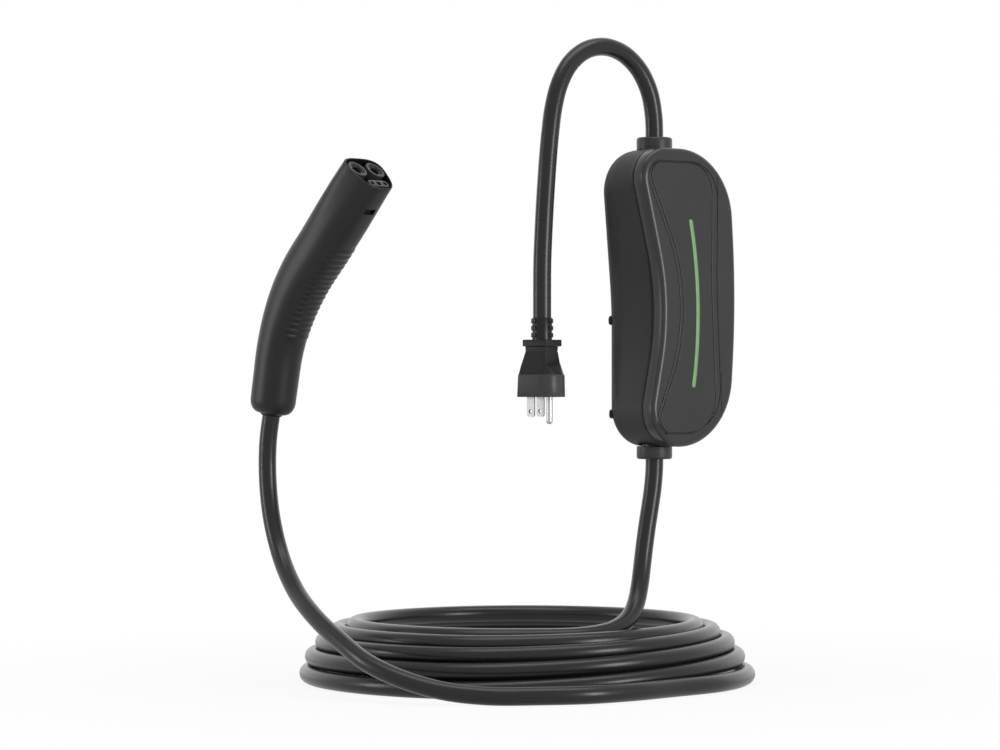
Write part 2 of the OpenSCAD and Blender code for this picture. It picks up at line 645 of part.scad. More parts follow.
// Plug: its own frame has the face at Z 0, the pins down and the earth pin towards +X
module in_plug() { translate(plug_at) rotate([0, 0, plug_turn]) children(); }
blade_x = -5.5;
blade_root = 8;
pin_root = pin_d - 0.8;
lug_turn = 34;
lug_gap = 10.6;
relief_l = relief_rings * relief_pitch + 0.6;
pin_x = blade_x + pin_off;

// Section of the plug: flat sides, with the earth side rounded by r
function plug_ring(z, back, front, half, r) =
    [for (p = outline([[front, -half, r], [front, half, r], [-back, half, 1.2], [-back, -half, 1.2]]))
        [p.x, p.y, z]];

module plug_body() color([0.19, 0.19, 0.19]) in_plug() difference() {
    union() {
        skin([plug_ring(0, 13.5, 17.4, 13.6, 12.6), plug_ring(plug_block, 12.8, 16.8, 13.2, 12.2),
              plug_ring(plug_block + 8, 11.3, 9.6, 11, 2), plug_ring(plug_h - 9.5, 9.4, 8.4, 8.8, 0.9),
              plug_ring(plug_h - 4.8, 9.6, 8.8, 9, 0.9), plug_ring(plug_h - 4.6, 10.6, 10.6, 10.6, 0.9),
              plug_ring(plug_h, 10.6, 10.6, 10.6, 0.9)]);
        // lugs of the strain relief on two sides of its sleeve
        difference() {
            for (k = [0:relief_rings - 1]) translate([0, 0, plug_h + 1.6 + k * relief_pitch])
                cylinder(h = 3.4, d = cable_d + 3);
            rotate(lug_turn) translate([0, 0, plug_h + relief_l / 2])
                cube([lug_gap, 2 * cable_d, relief_l + cut], center = true);
        }
        translate([0, 0, plug_h - cut / 2]) cylinder(h = relief_l + cut / 2, d = cable_d + 1.2);
    }
    translate([0, 0, plug_h - 2]) cylinder(h = relief_l + 2 + cut, d = cable_d + 2 * cable_gap);
    for (side = [-1, 1]) translate([blade_x, side * blade_gap / 2, 0])
        cube([blade_w, blade_t, 2 * blade_root], center = true);
    translate([pin_x, 0, -cut]) cylinder(h = blade_root + cut, d = pin_root);
}

module blade(side) in_plug() translate([blade_x, side * blade_gap / 2, 0]) rotate([90, 0, 0])
    translate([0, 0, -blade_t / 2]) linear_extrude(blade_t) difference() {
        polygon([[-blade_w / 2, blade_root], [-blade_w / 2, 1.2 - blade_l], [1.2 - blade_w / 2, -blade_l],
                 [blade_w / 2 - 1.2, -blade_l], [blade_w / 2, 1.2 - blade_l],
                 [blade_w / 2, blade_root]]);
        translate([0, 4.1 - blade_l]) circle(d = blade_hole);
    }
module line_blade() color([0.84, 0.84, 0.84]) blade(1);
module neutral_blade() color([0.84, 0.84, 0.84]) blade(-1);
module earth_pin() color([0.84, 0.84, 0.84]) in_plug() translate([pin_x, 0, 0]) rotate_extrude()
    polygon(concat([[0, blade_root], [0, -pin_l]],
        [for (k = [1:5]) let (a = 18 * k) [pin_d / 2 * sin(a), -pin_l + pin_d / 2 * (1 - cos(a))]],
        [[pin_d / 2, 0], [pin_root / 2, 0], [pin_root / 2, blade_root]]));

// Cords
module supply_cord() color([0.18, 0.18, 0.18]) tube(supply_route, cable_d, [0, 1, 0]);
module charge_riser() color([0.18, 0.18, 0.18]) tube(riser_route, cable_d, [0, 1, 0]);
module charge_lead() color([0.18, 0.18, 0.18]) tube(lead_route, cable_d, [0.64, 0.77, 0]);

// Middle of a turn's section, counted from the lowest: each turn leans in more than the one below
function coil_level(n) = n == 0 ? [coil_r, cable_r - coil_press]
    : let (a = coil_slope + 46 - 18 * n) coil_level(n - 1) + cable_d * [-cos(a), sin(a)];

// Outer form of the coil: a slanted band of turns, pressed flat under the lowest one
module charge_coil() color([0.18, 0.18, 0.18]) rotate_extrude($fn = 96) difference() {
    hull() for (n = [0:coil_turns - 1]) translate(coil_level(n)) circle(r = cable_r, $fn = 24);
    translate([0, -cable_d]) square([2 * coil_r, cable_d]);
}

rear_housing();
front_cover();
cover_seal();
panel_frame();
front_panel();
light_guide();
top_gland();
bottom_gland();
top_locknut();
bottom_locknut();
rear_feet();
cover_screws();
main_board();
board_screws();
relays();
leakage_sensor();
power_supply();
capacitors();
input_terminal();
output_terminal();
input_conductors();
output_conductors();
light_board();
lamps();
handle_shell();
tail_ring();
contact_carrier();
left_power_contact();
right_power_contact();
earth_contact();
pilot_contact();
proximity_contact();
carrier_ring();
release_button();
button_switch();
switch_board();
plug_body();
line_blade();
neutral_blade();
earth_pin();
supply_cord();
charge_riser();
charge_coil();
charge_lead();
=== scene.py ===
import math
import bmesh
import bpy
import numpy as np
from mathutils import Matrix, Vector
from mathutils.geometry import tessellate_polygon


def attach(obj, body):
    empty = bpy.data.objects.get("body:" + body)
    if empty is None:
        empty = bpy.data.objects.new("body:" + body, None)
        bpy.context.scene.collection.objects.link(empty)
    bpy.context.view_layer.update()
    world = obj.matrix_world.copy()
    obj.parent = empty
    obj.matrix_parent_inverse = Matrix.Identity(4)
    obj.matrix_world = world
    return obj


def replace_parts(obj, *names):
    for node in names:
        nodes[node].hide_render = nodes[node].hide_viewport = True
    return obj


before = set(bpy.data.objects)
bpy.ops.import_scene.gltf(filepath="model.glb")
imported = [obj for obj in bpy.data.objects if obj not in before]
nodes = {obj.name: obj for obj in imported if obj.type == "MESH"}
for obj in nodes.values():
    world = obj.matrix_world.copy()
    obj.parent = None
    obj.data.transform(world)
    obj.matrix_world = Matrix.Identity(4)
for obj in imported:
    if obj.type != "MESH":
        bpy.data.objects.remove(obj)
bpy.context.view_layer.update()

scene = bpy.context.scene
mm = 0.001
sharpAngle = 32

# camera of the photograph: level, long lens, turned 40 degrees from the box's front
view = {"place": (-1.7316, -2.0338, 0.235), "turn": -40, "lens": 125, "sensor": 36}
cameraData = bpy.data.cameras.new("camera")
cameraData.lens = view["lens"]
cameraData.sensor_width = view["sensor"]
camera = bpy.data.objects.new("camera", cameraData)
camera.location = view["place"]
camera.rotation_euler = (math.radians(90), 0, math.radians(view["turn"]))
scene.collection.objects.link(camera)
scene.camera = camera


class Wire:
    def __init__(self, tree, out):
        self.tree, self.out = tree, out

    def node(self, kind, settings=(), pick=0, feeds=()):
        made = self.tree.nodes.new(kind)
        for key, value in dict(settings).items():
            setattr(made, key, value)
        for key, value in dict(feeds).items():
            if isinstance(value, Wire):
                self.tree.links.new(value.out, made.inputs[key])
            else:
                made.inputs[key].default_value = value
        return Wire(self.tree, made.outputs[pick])

    def sum(self, operation, first, second):
        return self.node("ShaderNodeMath", {"operation": operation}, 0, {0: first, 1: second})

    def __add__(self, other): return self.sum("ADD", self, other)
    def __radd__(self, other): return self.sum("ADD", other, self)
    def __sub__(self, other): return self.sum("SUBTRACT", self, other)
    def __rsub__(self, other): return self.sum("SUBTRACT", other, self)
    def __mul__(self, other): return self.sum("MULTIPLY", self, other)
    def __rmul__(self, other): return self.sum("MULTIPLY", other, self)


def startMaterial(name, fixed):
    made = bpy.data.materials.new(name)
    made.use_nodes = True
    tree = made.node_tree
    shader = tree.nodes["Principled BSDF"]
    for key, value in fixed.items():
        shader.inputs[key].default_value = value
    return made, shader, Wire(tree, tree.nodes.new("ShaderNodeTexCoord").outputs["Object"])


def feed(shader, wires):
    for key, wire in wires.items():
        wire.tree.links.new(wire.out, shader.inputs[key])


def noise(place, scale, detail=3.0, rough=0.5):
    return place.node("ShaderNodeTexNoise", {}, 0,
                      {"Vector": place, "Scale": scale, "Detail": detail, "Roughness": rough})


# noise drawn out along the axes whose scale is small
def streaks(place, stretch):
    pulled = place.node("ShaderNodeMapping", {}, 0, {"Vector": place, "Scale": stretch})
    return noise(pulled, scale=900)


def axisOf(place, axis):
    return place.node("ShaderNodeSeparateXYZ", {}, axis, {0: place})


def blendTones(factor, low, high):
    low, high = (tone if isinstance(tone, Wire) else (*tone, 1) for tone in (low, high))
    return factor.node("ShaderNodeMix", {"data_type": "RGBA"}, 2, {0: factor, 6: low, 7: high})


def clampTo(wire, low, high):
    return wire.node("ShaderNodeMapRange", {}, 0, {0: wire, 1: low, 2: high, 3: 0.0, 4: 1.0})


def bump(height, strength, distance):
    return height.node("ShaderNodeBump", {}, 0, {"Strength": strength, "Distance": distance, "Height": height})


# moulded surface: slow cloud of two tones, roughness that follows a finer cloud, and a spark-eroded grain
def moulded(name, low, high, rough, spread, grain, depth, specular=0.5):
    made, shader, place = startMaterial(name, {"Specular IOR Level": specular})
    cloud = clampTo(noise(place, scale=22, detail=4), 0.3, 0.7)
    fine = noise(place, scale=260)
    feed(shader, {"Base Color": blendTones(cloud * 0.6 + fine * 0.4, low, high),
                  "Roughness": fine * spread + (rough - spread / 2),
                  "Normal": bump(noise(place, grain, detail=2, rough=0.6), strength=0.35, distance=depth)})
    return made


# drawn metal: streaks along one axis shift the roughness and the tone
def drawnMetal(name, low, high, rough, stretch, spread=0.18):
    made, shader, place = startMaterial(name, {"Metallic": 1.0})
    streak = streaks(place, stretch)
    cloud = noise(place, scale=120)
    feed(shader, {"Base Color": blendTones(streak * 0.5 + cloud * 0.5, low, high),
                  "Roughness": streak * spread + (rough - spread / 2),
                  "Normal": bump(streak, strength=0.15, distance=0.00002)})
    return made


# circuit board: green solder mask over square-edged tracks
def boardMaterial(name):
    made, shader, place = startMaterial(name, {"Specular IOR Level": 0.5})
    upright = place.node("ShaderNodeMapping", {}, 0, {"Vector": place, "Rotation": (math.pi / 2, 0, 0)})
    cells = place.node("ShaderNodeTexBrick", {"offset": 0.5}, 1,
                       {"Vector": upright, "Scale": 160.0, "Mortar Size": 0.08})
    feed(shader, {"Base Color": blendTones(clampTo(cells, 0.0, 1.0), (0.012, 0.12, 0.05), (0.03, 0.2, 0.09)),
                  "Roughness": noise(place, scale=200) * 0.15 + 0.3,
                  "Normal": bump(cells, strength=0.3, distance=0.00005)})
    return made


# light guide: green glow that is a little brighter over each lamp behind it
def glowMaterial(name, lampWave=490.0):
    made, shader, place = startMaterial(name, {"Emission Strength": 0.28, "Roughness": 0.35})
    wave = place.node("ShaderNodeMath", {"operation": "SINE"}, 0, {0: axisOf(place, 2) * lampWave}) * 0.5 + 0.5
    cloud = noise(place, scale=90)
    feed(shader, {"Emission Color": blendTones(wave * 0.6 + cloud * 0.4, (0.15, 0.42, 0.11), (0.27, 0.5, 0.22)),
                  "Base Color": blendTones(cloud, (0.08, 0.2, 0.06), (0.12, 0.26, 0.1))})
    return made


# moulded looks: darker and lighter tone, roughness and its spread, scale and depth of the grain, specular level
mouldings = {
    "cover": ("coverPlastic", (0.022, 0.022, 0.0228), (0.028, 0.028, 0.029), 0.3, 0.06, 2600, 0.00003, 0.34),
    "panel": ("panelPlastic", (0.022, 0.022, 0.0228), (0.028, 0.028, 0.029), 0.36, 0.06, 3400, 0.00002, 0.3),
    "housing": ("housingPlastic", (0.009, 0.009, 0.0094), (0.013, 0.013, 0.0134), 0.6, 0.08, 2200, 0.00005, 0.4),
    "gland": ("glandPlastic", (0.018, 0.018, 0.018), (0.025, 0.025, 0.025), 0.42, 0.1, 1800, 0.00005, 0.34),
    "handle": ("handlePlastic", (0.006, 0.0066, 0.0064), (0.0085, 0.0092, 0.009), 0.42, 0.06, 2600, 0.00003, 0.28),
    "carrier": ("carrierPlastic", (0.022, 0.022, 0.022), (0.03, 0.03, 0.03), 0.4, 0.1, 2600, 0.00003, 0.3),
    "button": ("buttonRubber", (0.01, 0.01, 0.01), (0.015, 0.015, 0.015), 0.6, 0.1, 2000, 0.00004, 0.25),
    "rubber": ("blackRubber", (0.006, 0.006, 0.006), (0.012, 0.012, 0.012), 0.72, 0.12, 1500, 0.00006, 0.25),
    "cable": ("cableJacket", (0.008, 0.008, 0.008), (0.012, 0.012, 0.012), 0.3, 0.06, 1200, 0.00001, 0.3),
    "device": ("deviceCase", (0.008, 0.009, 0.012), (0.016, 0.018, 0.024), 0.4, 0.1, 1800, 0.00004),
    "terminal": ("terminalGreen", (0.015, 0.09, 0.03), (0.025, 0.13, 0.045), 0.45, 0.1, 1800, 0.00004),
    "wire": ("wireSleeve", (0.2, 0.03, 0.015), (0.28, 0.05, 0.02), 0.4, 0.1, 1500, 0.00003),
    "lamp": ("lampLens", (0.75, 0.75, 0.6), (0.85, 0.85, 0.72), 0.25, 0.08, 1500, 0.00002),
}
looks = {look: moulded(*row) for look, row in mouldings.items()}
looks["board"] = boardMaterial("circuitBoard")
looks["light"] = glowMaterial("lightGuide")
looks["contact"] = drawnMetal("silverContact", (0.2, 0.195, 0.185), (0.27, 0.262, 0.25), 0.3, (1, 1, 0.2))
looks["steel"] = drawnMetal("platedSteel", (0.45, 0.45, 0.46), (0.55, 0.55, 0.56), 0.32, (1, 0.1, 1))
print("materials made:", len(looks))


def dress(obj, look):
    obj.data.materials.clear()
    obj.data.materials.append(looks[look])


# faces come as blocks, each an array with one face to a row
def addMesh(name, points, faces, look, body="charger", sharp=sharpAngle):
    mesh = bpy.data.meshes.new(name)
    mesh.from_pydata((points * mm).tolist(), [], [row for block in faces for row in block.tolist()])
    mesh.validate()
    shell = bmesh.new()
    shell.from_mesh(mesh)
    bmesh.ops.remove_doubles(shell, verts=shell.verts, dist=1e-7)
    bmesh.ops.recalc_face_normals(shell, faces=shell.faces)
    shell.to_mesh(mesh)
    shell.free()
    mesh.shade_smooth()
    mesh.set_sharp_from_angle(angle=math.radians(sharp))
    made = bpy.data.objects.new(name, mesh)
    scene.collection.objects.link(made)
    dress(made, look)
    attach(made, body)
    return made


# quads between neighbouring rings; a closed end gets a fan about the ring's middle
def ringFaces(rings, capFirst=True, capLast=True, loop=False):
    rings = np.asarray(rings, float)
    count, size = rings.shape[:2]
    points = rings.reshape(-1, 3)
    here = np.arange(size)
    ahead = (here + 1) % size
    row = np.arange(count if loop else count - 1)[:, None] * size
    after = (row + size) % (count * size)
    faces = [np.stack([row + here, after + here, after + ahead, row + ahead], -1).reshape(-1, 4)]
    if not loop and capFirst:
        faces.append(np.column_stack([np.full(size, len(points)), here, ahead]))
        points = np.vstack([points, rings[0].mean(0)])
    if not loop and capLast:
        last = (count - 1) * size
        faces.append(np.column_stack([np.full(size, len(points)), last + ahead, last + here]))
        points = np.vstack([points, rings[-1].mean(0)])
    return points, faces


# several surfaces as one: the numbers in each one's faces move on by the points before it
def joinParts(parts):
    starts = np.cumsum([0] + [len(points) for points, faces in parts])
    return (np.concatenate([points for points, faces in parts]),
            [block + start for start, (points, faces) in zip(starts, parts) for block in faces])


# triangles over a flat region inside the first loop and outside the others
def fillLoops(loops):
    return np.array(tessellate_polygon([loop.tolist() for loop in loops]))


def cutOut(obj, cutter):
    change = obj.modifiers.new("cut", "BOOLEAN")
    change.operation = "DIFFERENCE"
    change.solver = "EXACT"
    change.object = cutter
    bpy.context.view_layer.update()
    graph = bpy.context.evaluated_depsgraph_get()
    fresh = bpy.data.meshes.new_from_object(obj.evaluated_get(graph))
    obj.modifiers.clear()
    obj.data = fresh
    fresh.shade_smooth()
    fresh.set_sharp_from_angle(angle=math.radians(sharpAngle))
    bpy.data.objects.remove(cutter)


# points turned about the vertical and moved to a place
def placed(points, degrees, at):
    a = math.radians(degrees)
    p = np.asarray(points, float)
    return np.column_stack([p[:, 0] * math.cos(a) - p[:, 1] * math.sin(a),
                            p[:, 0] * math.sin(a) + p[:, 1] * math.cos(a), p[:, 2]]) + at


# cubic between two values with a slope at each end
def cubic(u, first, last, firstSlope, lastSlope):
    return ((2 * u**3 - 3 * u**2 + 1) * first + (u**3 - 2 * u**2 + u) * firstSlope
            + (3 * u**2 - 2 * u**3) * last + (u**3 - u**2) * lastSlope)


# smooth curve through given points, by cubic pieces whose slopes follow the chord lengths
def smoothRoute(route, step):
    p = np.asarray(route, float)
    chord = np.linalg.norm(np.diff(p, axis=0), axis=1)
    flow = np.diff(p, axis=0) / chord[:, None]
    before, after = chord[:-1, None], chord[1:, None]
    slope = np.vstack([flow[:1], (flow[:-1] * after + flow[1:] * before) / (before + after), flow[-1:]])
    pieces = [cubic(np.arange(0, 1, step / reach)[:, None], p[i], p[i + 1], reach * slope[i], reach * slope[i + 1])
              for i, reach in enumerate(chord)]
    return np.vstack(pieces + [p[-1:]])


def circleTurn(sides):
    return np.arange(sides) * 2 * math.pi / sides


# round jacket swept along a path by carrying one side vector along it without twist
def tubeRings(path, radius, sides=20, firstSide=(0.37, 0.81, 0.45)):
    along = np.gradient(path, axis=0)
    along /= np.linalg.norm(along, axis=1)[:, None]
    side = np.cross(along[0], firstSide)
    turn = circleTurn(sides)[:, None]
    rings = []
    for point, ahead in zip(path, along):
        side = side - ahead * side.dot(ahead)
        side /= np.linalg.norm(side)
        rings.append(point + radius * (np.cos(turn) * side + np.sin(turn) * np.cross(ahead, side)))
    return rings


# turned piece: a profile of radius and height carried round an axis
def turnedRings(profile, sides=72):
    turn = circleTurn(sides)
    return [np.column_stack([r * np.cos(turn), r * np.sin(turn), np.full(sides, z)]) for r, z in profile]


# quarter circle in equal steps: 1 - cos and 1 - sin of each angle
def quarter(steps):
    a = math.pi / 2 * np.arange(steps + 1) / steps
    return np.column_stack([1 - np.cos(a), 1 - np.sin(a)])


# cords first: the supply lead, and the charge cable from the box down the riser, round the coil and up to the handle;
# the coil's levels are radius and height, and its angles start from the front
cable = {
    "across": 13.5, "step": 4,
    "supply": [(46, -97, 392), (46, -97, 411), (45.3, -97, 430), (40.6, -97, 449.2), (30.1, -97, 465.1),
               (14.6, -97, 476), (-3.8, -97, 480.2), (-22.4, -97, 476.8), (-38.8, -97, 465.6), (-49.2, -97, 449.8),
               (-55.1, -97, 431.7), (-58.2, -97, 412.9), (-60.5, -97, 393), (-62.2, -97, 374.1), (-63.7, -97, 355.1),
               (-64.9, -97, 336.1), (-65.8, -97, 317.1), (-66, -97, 297.1), (-66, -97, 278), (-66, -97, 259)],
    "riser": [(46, -97, 194), (46, -97, 180), (45.9, -97, 164.1), (44.4, -97, 150.3), (41.4, -97, 134.5),
              (38.3, -97.2, 120.7), (34.7, -98, 104.8), (31.1, -99.6, 91.2), (26.4, -102.4, 78.4), (18.8, -107, 65.8),
              (9.7, -111.6, 57), (-3.3, -116.2, 50), (-16.3, -118.7, 46.2), (-32.1, -119, 43.9), (-46.1, -116.8, 43)],
    "lead": [(-171.8, 88.7, 233.6), (-172.6, 93.5, 206), (-173.2, 96.9, 186.3), (-173, 98, 159), (-174, 92, 129),
             (-177, 77, 101), (-185, 48, 76), (-194, 12, 58), (-199, -26, 42), (-199, -62, 27),
             (-190, -91, 17), (-174, -117, 10), (-151, -139, 6.8), (-123, -161, 6.8), (-92, -176, 6.8),
             (-52, -180, 6.8), (-9, -175.8, 6.8), (47, -168, 6.8)],
    "levels": [(166.5, 6.75), (162.3, 19.6), (154.4, 30.5), (143.5, 38.4), (130.6, 42.6), (117.2, 43.2)],
    "turns": np.arange(5.0, 0.2, -1 / 48), "front": -130, "climb": 0.33, "early": 0.08, "spread": 13.5, "settle": 0.35,
}


def smoothStep(u):
    u = np.clip(u, 0, 1)
    return u * u * (3 - 2 * u)


# places on the coil after t turns: each turn lies flat until it climbs onto the one below, a little further in,
# and the first one comes in from a wider start
def coilPoints(t):
    angle = np.radians(cable["front"] + 360 * t)
    whole = np.floor(t + cable["early"])
    level = np.maximum(whole - 1 + smoothStep((t + cable["early"] - whole) / cable["climb"]), 0)
    radii, heights = np.transpose(cable["levels"])
    steps = np.arange(len(radii))
    radius = np.interp(level, steps, radii) + cable["spread"] * (1 - smoothStep(t / cable["settle"]))
    return np.column_stack([radius * np.cos(angle), radius * np.sin(angle), np.interp(level, steps, heights)])


def pathLength(path):
    return float(np.linalg.norm(np.diff(path, axis=0), axis=1).sum()) * mm


supplyPath = smoothRoute(cable["supply"], cable["step"])
chargePath = smoothRoute(np.vstack([cable["riser"], coilPoints(cable["turns"]), cable["lead"][::-1]]), cable["step"])
supplyCord = addMesh("supplyCord", *ringFaces(tubeRings(supplyPath, cable["across"] / 2)), "cable")
chargeCord = addMesh("chargeCord", *ringFaces(tubeRings(chargePath, cable["across"] / 2)), "cable")
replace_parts(supplyCord, "supply_cord")
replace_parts(chargeCord, "charge_riser", "charge_coil", "charge_lead")
print("supply lead", round(pathLength(supplyPath), 3), "m, charge cable", round(pathLength(chargePath), 3), "m")


# points of a polygon with rounded corners, moved inwards by inset
def outline(corners, inset=0.0, steps=18):
    found = []
    count = len(corners)
    share = np.arange(steps + 1) / steps
    for i in range(count):
        a, b, c = (np.array(corners[(i + k) % count][:2], float) for k in (-1, 0, 1))
        radius = corners[i][2]
        u, v = (a - b) / np.linalg.norm(a - b), (c - b) / np.linalg.norm(c - b)
        half = math.acos(u.dot(v)) / 2
        turn = np.sign((b - a)[0] * (c - b)[1] - (b - a)[1] * (c - b)[0])
        centre = b + (u + v) / np.linalg.norm(u + v) * radius / math.sin(half)
        angle = math.atan2(u[0], -u[1]) + turn * (math.pi - 2 * half) * share
        found.append(centre + turn * (radius - turn * inset) * np.column_stack([np.cos(angle), np.sin(angle)]))
    return np.concatenate(found)


# control box, about the gland axis at mid-height: corners are x, z and radius, and rims are inset and depth
box = {
    "at": np.array((46, -97, 293.0)), "part": -18.0, "rear": 20.0, "front": -30.0, "half": 112.0, "gap": 0.6,
    "rearCorners": [(51, -112, 54), (59, 0, 700), (51, 112, 54), (-41, 112, 32), (-30, -6, 400), (-30, -112, 30)],
    "frontCorners": [(51, -112, 54), (59, 0, 700), (51, 112, 54), (-45, 112, 23), (-13, -6, 175), (-35.5, -112, 29)],
    "panelCorners": [(36.5, -101, 26), (31, 10, 600), (32, 101, 22), (-36, 101, 10), (15.7, -5, 130), (-26, -101, 10)],
    "frameCorners": [(42, -102, 34), (36.4, 10, 600), (37.5, 102, 27), (-39.6, 102, 12), (12.2, -5, 130),
                     (-29.5, -102, 12)],
    "wall": 2.5, "rearRound": 8, "rearFlat": 8.8, "backInset": 5.8, "rimRoll": 1.0,
    "screws": [(-20, 91), (27, 88), (48, 0), (26, -87), (-17, -91)], "screwWell": {"radius": 3.2, "from": -3, "to": 2},
    "feet": (-87.4, -16.8), "footWell": {"radius": 3.7, "from": -0.8, "to": 4},
    "coverBack": ((4.5, 3.5), (3, 5)), "coverRim": ((2.5, 0), (0.75, 0), (0.35, -0.12), (0.1, -0.4), (0, -0.8)),
    "coverEdge": (4.2, 3.4), "coverFlat": 4.3, "recess": ((-0.9, 0), (-0.6, 0), (-0.4, 0.2), (-0.4, 1.5)),
    "seams": ((37.4, 84), (41.4, -84)), "seam": {"half": 0.2, "reach": 28, "from": -1, "to": 0.7},
}


def atDepth(flat, y):
    return np.column_stack([flat[:, 0], np.full(len(flat), y), flat[:, 1]]) + box["at"]


def boxRing(corners, inset, y):
    return atDepth(outline(corners, inset), y)


def sideCorners(y):
    t = (box["rear"] - y) / (box["rear"] - box["part"])
    return (np.array(box["rearCorners"], float) * (1 - t) + np.array(box["frontCorners"], float) * t).tolist()


# wells for the screws run straight in, and those for the feet stand square on the rear edge's slope
def wellParts(sides=32):
    rear, screwWell, footWell = box["rear"], box["screwWell"], box["footWell"]
    circle = turnedRings([(screwWell["radius"], 0)], sides)[0][:, :2]
    parts = [ringFaces([atDepth(circle + place, rear + screwWell[end]) for end in ("from", "to")])
             for place in box["screws"]]
    slant = math.sqrt(0.5)
    drop = box["rearRound"] * (1 - slant)
    edge = outline(box["rearCorners"], drop)
    edge = edge[edge[:, 0] < 0]
    out = np.array((-slant, slant, 0))
    circle = turnedRings([(footWell["radius"], 0)], sides)[0] @ np.array([(0, 0, 1), (slant, slant, 0), (0, 0, 0)])
    for z in box["feet"]:
        near = edge[np.argsort(np.abs(edge[:, 1] - z))[:2]]
        foot = np.array((near[:, 0].mean(), rear - drop, z)) + box["at"]
        parts.append(ringFaces([foot + out * footWell[end] + circle for end in ("from", "to")]))
    return joinParts(parts)


# rear housing: quarter-round rear edge, sides blended from the rear outline to the front one, rolled rim, thin wall
def buildHousing():
    rim, rear = box["part"] + box["gap"] / 2, box["rear"]
    bend, wall, roll = box["rearRound"], box["wall"], box["rimRoll"]
    rings = [boxRing(box["rearCorners"], box["rearFlat"], rear)]
    rings += [boxRing(box["rearCorners"], bend * down, rear - bend * across) for across, down in quarter(8)]
    rings += [boxRing(sideCorners(y), 0, y) for y in np.linspace(rear - bend, rim + roll, 10)[1:]]
    rings += [boxRing(box["frontCorners"], roll * across, rim + roll * down) for across, down in quarter(7)[1:]]
    rings.append(boxRing(box["frontCorners"], wall, rim))
    rings += [boxRing(sideCorners(y), wall, y) for y in (0.0, rear - bend)]
    rings.append(boxRing(box["rearCorners"], box["backInset"], rear - wall))
    made = addMesh("rearHousing", *ringFaces(rings), "housing")
    cutOut(made, addMesh("wells", *wellParts(), "housing"))
    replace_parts(made, "rear_housing")


# front cover: rolled rim, straight side, elliptical front edge, and a shallow recess that follows the panel's frame
def buildCover():
    rim, front = box["part"] - box["gap"] / 2, box["front"]
    corners, (wide, deep) = box["frontCorners"], box["coverEdge"]
    rings = [boxRing(corners, inset, front + y) for inset, y in box["coverBack"]]
    rings += [boxRing(corners, inset, rim + y) for inset, y in box["coverRim"]]
    rings += [boxRing(corners, wide * across, front + deep * down) for across, down in quarter(10)]
    rings.append(boxRing(corners, box["coverFlat"], front))
    rings += [boxRing(box["frameCorners"], inset, front + y) for inset, y in box["recess"]]
    made = addMesh("frontCover", *ringFaces(rings), "cover")
    # fine seam that runs on from the frame to the cover's ends
    seam = box["seam"]
    flat = np.array([(-1, -1), (1, -1), (1, 1), (-1, 1)]) * (seam["half"], seam["reach"])
    for middle in box["seams"]:
        rings = [atDepth(flat + middle, front + seam[end]) for end in ("from", "to")]
        cutOut(made, addMesh("seamCutter", *ringFaces(rings), "cover"))
    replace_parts(made, "front_cover")


# panel and its frame: insets of the edge's three outlines and their depths, and how far the holes stand off
panel = {"thick": 1.5, "edge": (0.22, 0.06, 0), "inset": (0.1, 0.18, 0.4), "slot": (0.2, 0.28, 0.48),
         "hole": (-0.5, -0.58, -0.8), "sharp": 4}
# light guide: crown rows are how far the outline grows and its depth
light = {"radius": 330, "wide": 3.3, "long": 124, "tip": 1.4, "at": (17.1, -4), "arcPoints": 40, "endSteps": 9,
         "crown": ((0, 5), (0, 0.1), (-0.15, -0.05), (-0.5, -0.15))}


# flat plate with rolled edges between an outer outline and a hole, tessellated over its front and back
def plateParts(outer, hole, y):
    back = y + panel["thick"]
    parts = []
    for levels, flip in ((outer, 1), (hole, -1)):
        rings = [atDepth(levels[0], back)] + [atDepth(level, y + d) for level, d in zip(levels, panel["edge"])]
        points, faces = ringFaces(rings, False, False)
        parts.append((points, [block[:, ::flip] for block in faces]))
    for depth, loops in ((y, (outer[2], hole[2])), (back, (outer[0], hole[0]))):
        parts.append((atDepth(np.vstack(loops), depth), [fillLoops(loops)]))
    return joinParts(parts)


# light guide's outline: an arc with round ends
def lightOutline(grow):
    radius, width, length = light["radius"], light["wide"] + 2 * grow, light["long"] + 2 * grow
    half = length / 2 / radius
    sweep = np.linspace(-half, half, light["arcPoints"])
    turn = math.pi * np.arange(1, light["endSteps"]) / light["endSteps"]
    circle = lambda r, a: r * np.column_stack([np.cos(a), np.sin(a)])
    flat = np.vstack([circle(radius + width / 2, sweep), circle(radius, half) + circle(width / 2, half + turn),
                      circle(radius - width / 2, sweep[::-1]),
                      circle(radius, -half) + circle(width / 2, math.pi - half + turn)])
    x, z = (flat - (radius, 0)).T
    tip = math.radians(light["tip"])
    return np.column_stack([x * math.cos(tip) - z * math.sin(tip), x * math.sin(tip) + z * math.cos(tip)]) + light["at"]


def buildPanel():
    y = box["front"]
    outer = [outline(box["panelCorners"], i) for i in panel["inset"]]
    slot = [lightOutline(grow) for grow in panel["slot"]]
    made = addMesh("frontPanel", *plateParts(outer, slot, y), "panel", sharp=panel["sharp"])
    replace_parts(made, "front_panel")
    outer = [outline(box["frameCorners"], i) for i in panel["inset"]]
    inner = [outline(box["panelCorners"], i) for i in panel["hole"]]
    made = addMesh("panelFrame", *plateParts(outer, inner, y), "panel", sharp=panel["sharp"])
    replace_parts(made, "panel_frame")
    # the guide's face is gently crowned
    rings = [atDepth(lightOutline(grow), y + d) for grow, d in light["crown"]]
    points, faces = ringFaces(rings, True, False)
    top = rings[-1][:, [0, 2]]
    made = addMesh("lightGuide", points, faces + [fillLoops([top]) + (len(rings) - 1) * len(top)], "light")
    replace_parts(made, "light_guide")


buildHousing()
buildCover()
buildPanel()
print("box built")

